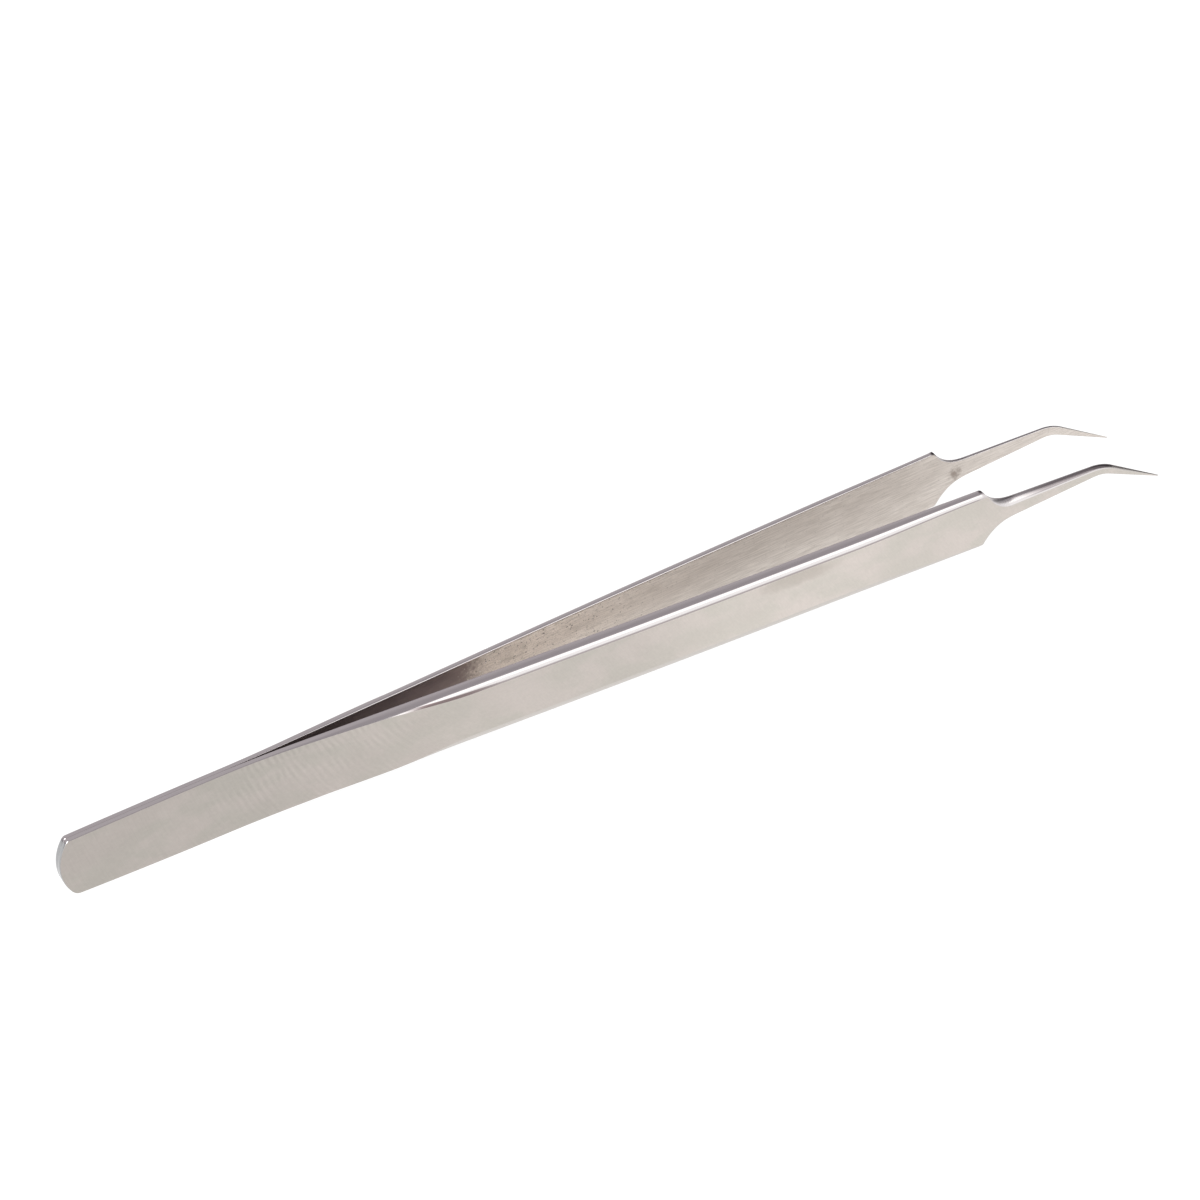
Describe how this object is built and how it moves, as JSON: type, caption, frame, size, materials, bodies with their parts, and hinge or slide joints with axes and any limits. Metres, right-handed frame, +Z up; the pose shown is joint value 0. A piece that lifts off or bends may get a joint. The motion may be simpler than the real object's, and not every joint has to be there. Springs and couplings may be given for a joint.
{
  "type": "precision tweezers",
  "caption": "Slim bent fine-point tweezers: spring-steel arms welded at the heel, flat grip blades, necks and needle tips bent down.",
  "frame": {"origin": "middle of the overall length, on the middle plane between the arms, at the height of the surface that the tips rest on", "axes": "+X from the heel to the tips, +Y across the gap towards the left arm, +Z up along the width of the blades, away from the side that the tips are bent to"},
  "size_m": [0.14, 0.0104, 0.0087],
  "materials": {
    "arm_steel": "bare stainless steel, satin ground, with fine grinding marks",
    "weld_steel": "fused steel inside the lap"
  },
  "bodies": {
    "heel": {"left_heel": "arm_steel", "right_heel": "arm_steel", "weld_nuggets": "weld_steel"},
    "left_arm": {"left_arm": "arm_steel"},
    "right_arm": {"right_arm": "arm_steel"}
  },
  "joints": [
    {"name": "left_arm_flex", "type": "hinge", "parent": "heel", "child": "left_arm", "pos_m": [-0.04, 0.00039, 0.00471], "axis": [0, 0, -1], "range_deg": [0, 2.45], "stiffness_Nm_per_rad": 2.4},
    {"name": "right_arm_flex", "type": "hinge", "parent": "heel", "child": "right_arm", "pos_m": [-0.04, -0.00039, 0.00471], "axis": [0, 0, 1], "range_deg": [0, 2.45], "stiffness_Nm_per_rad": 2.4}
  ]
}
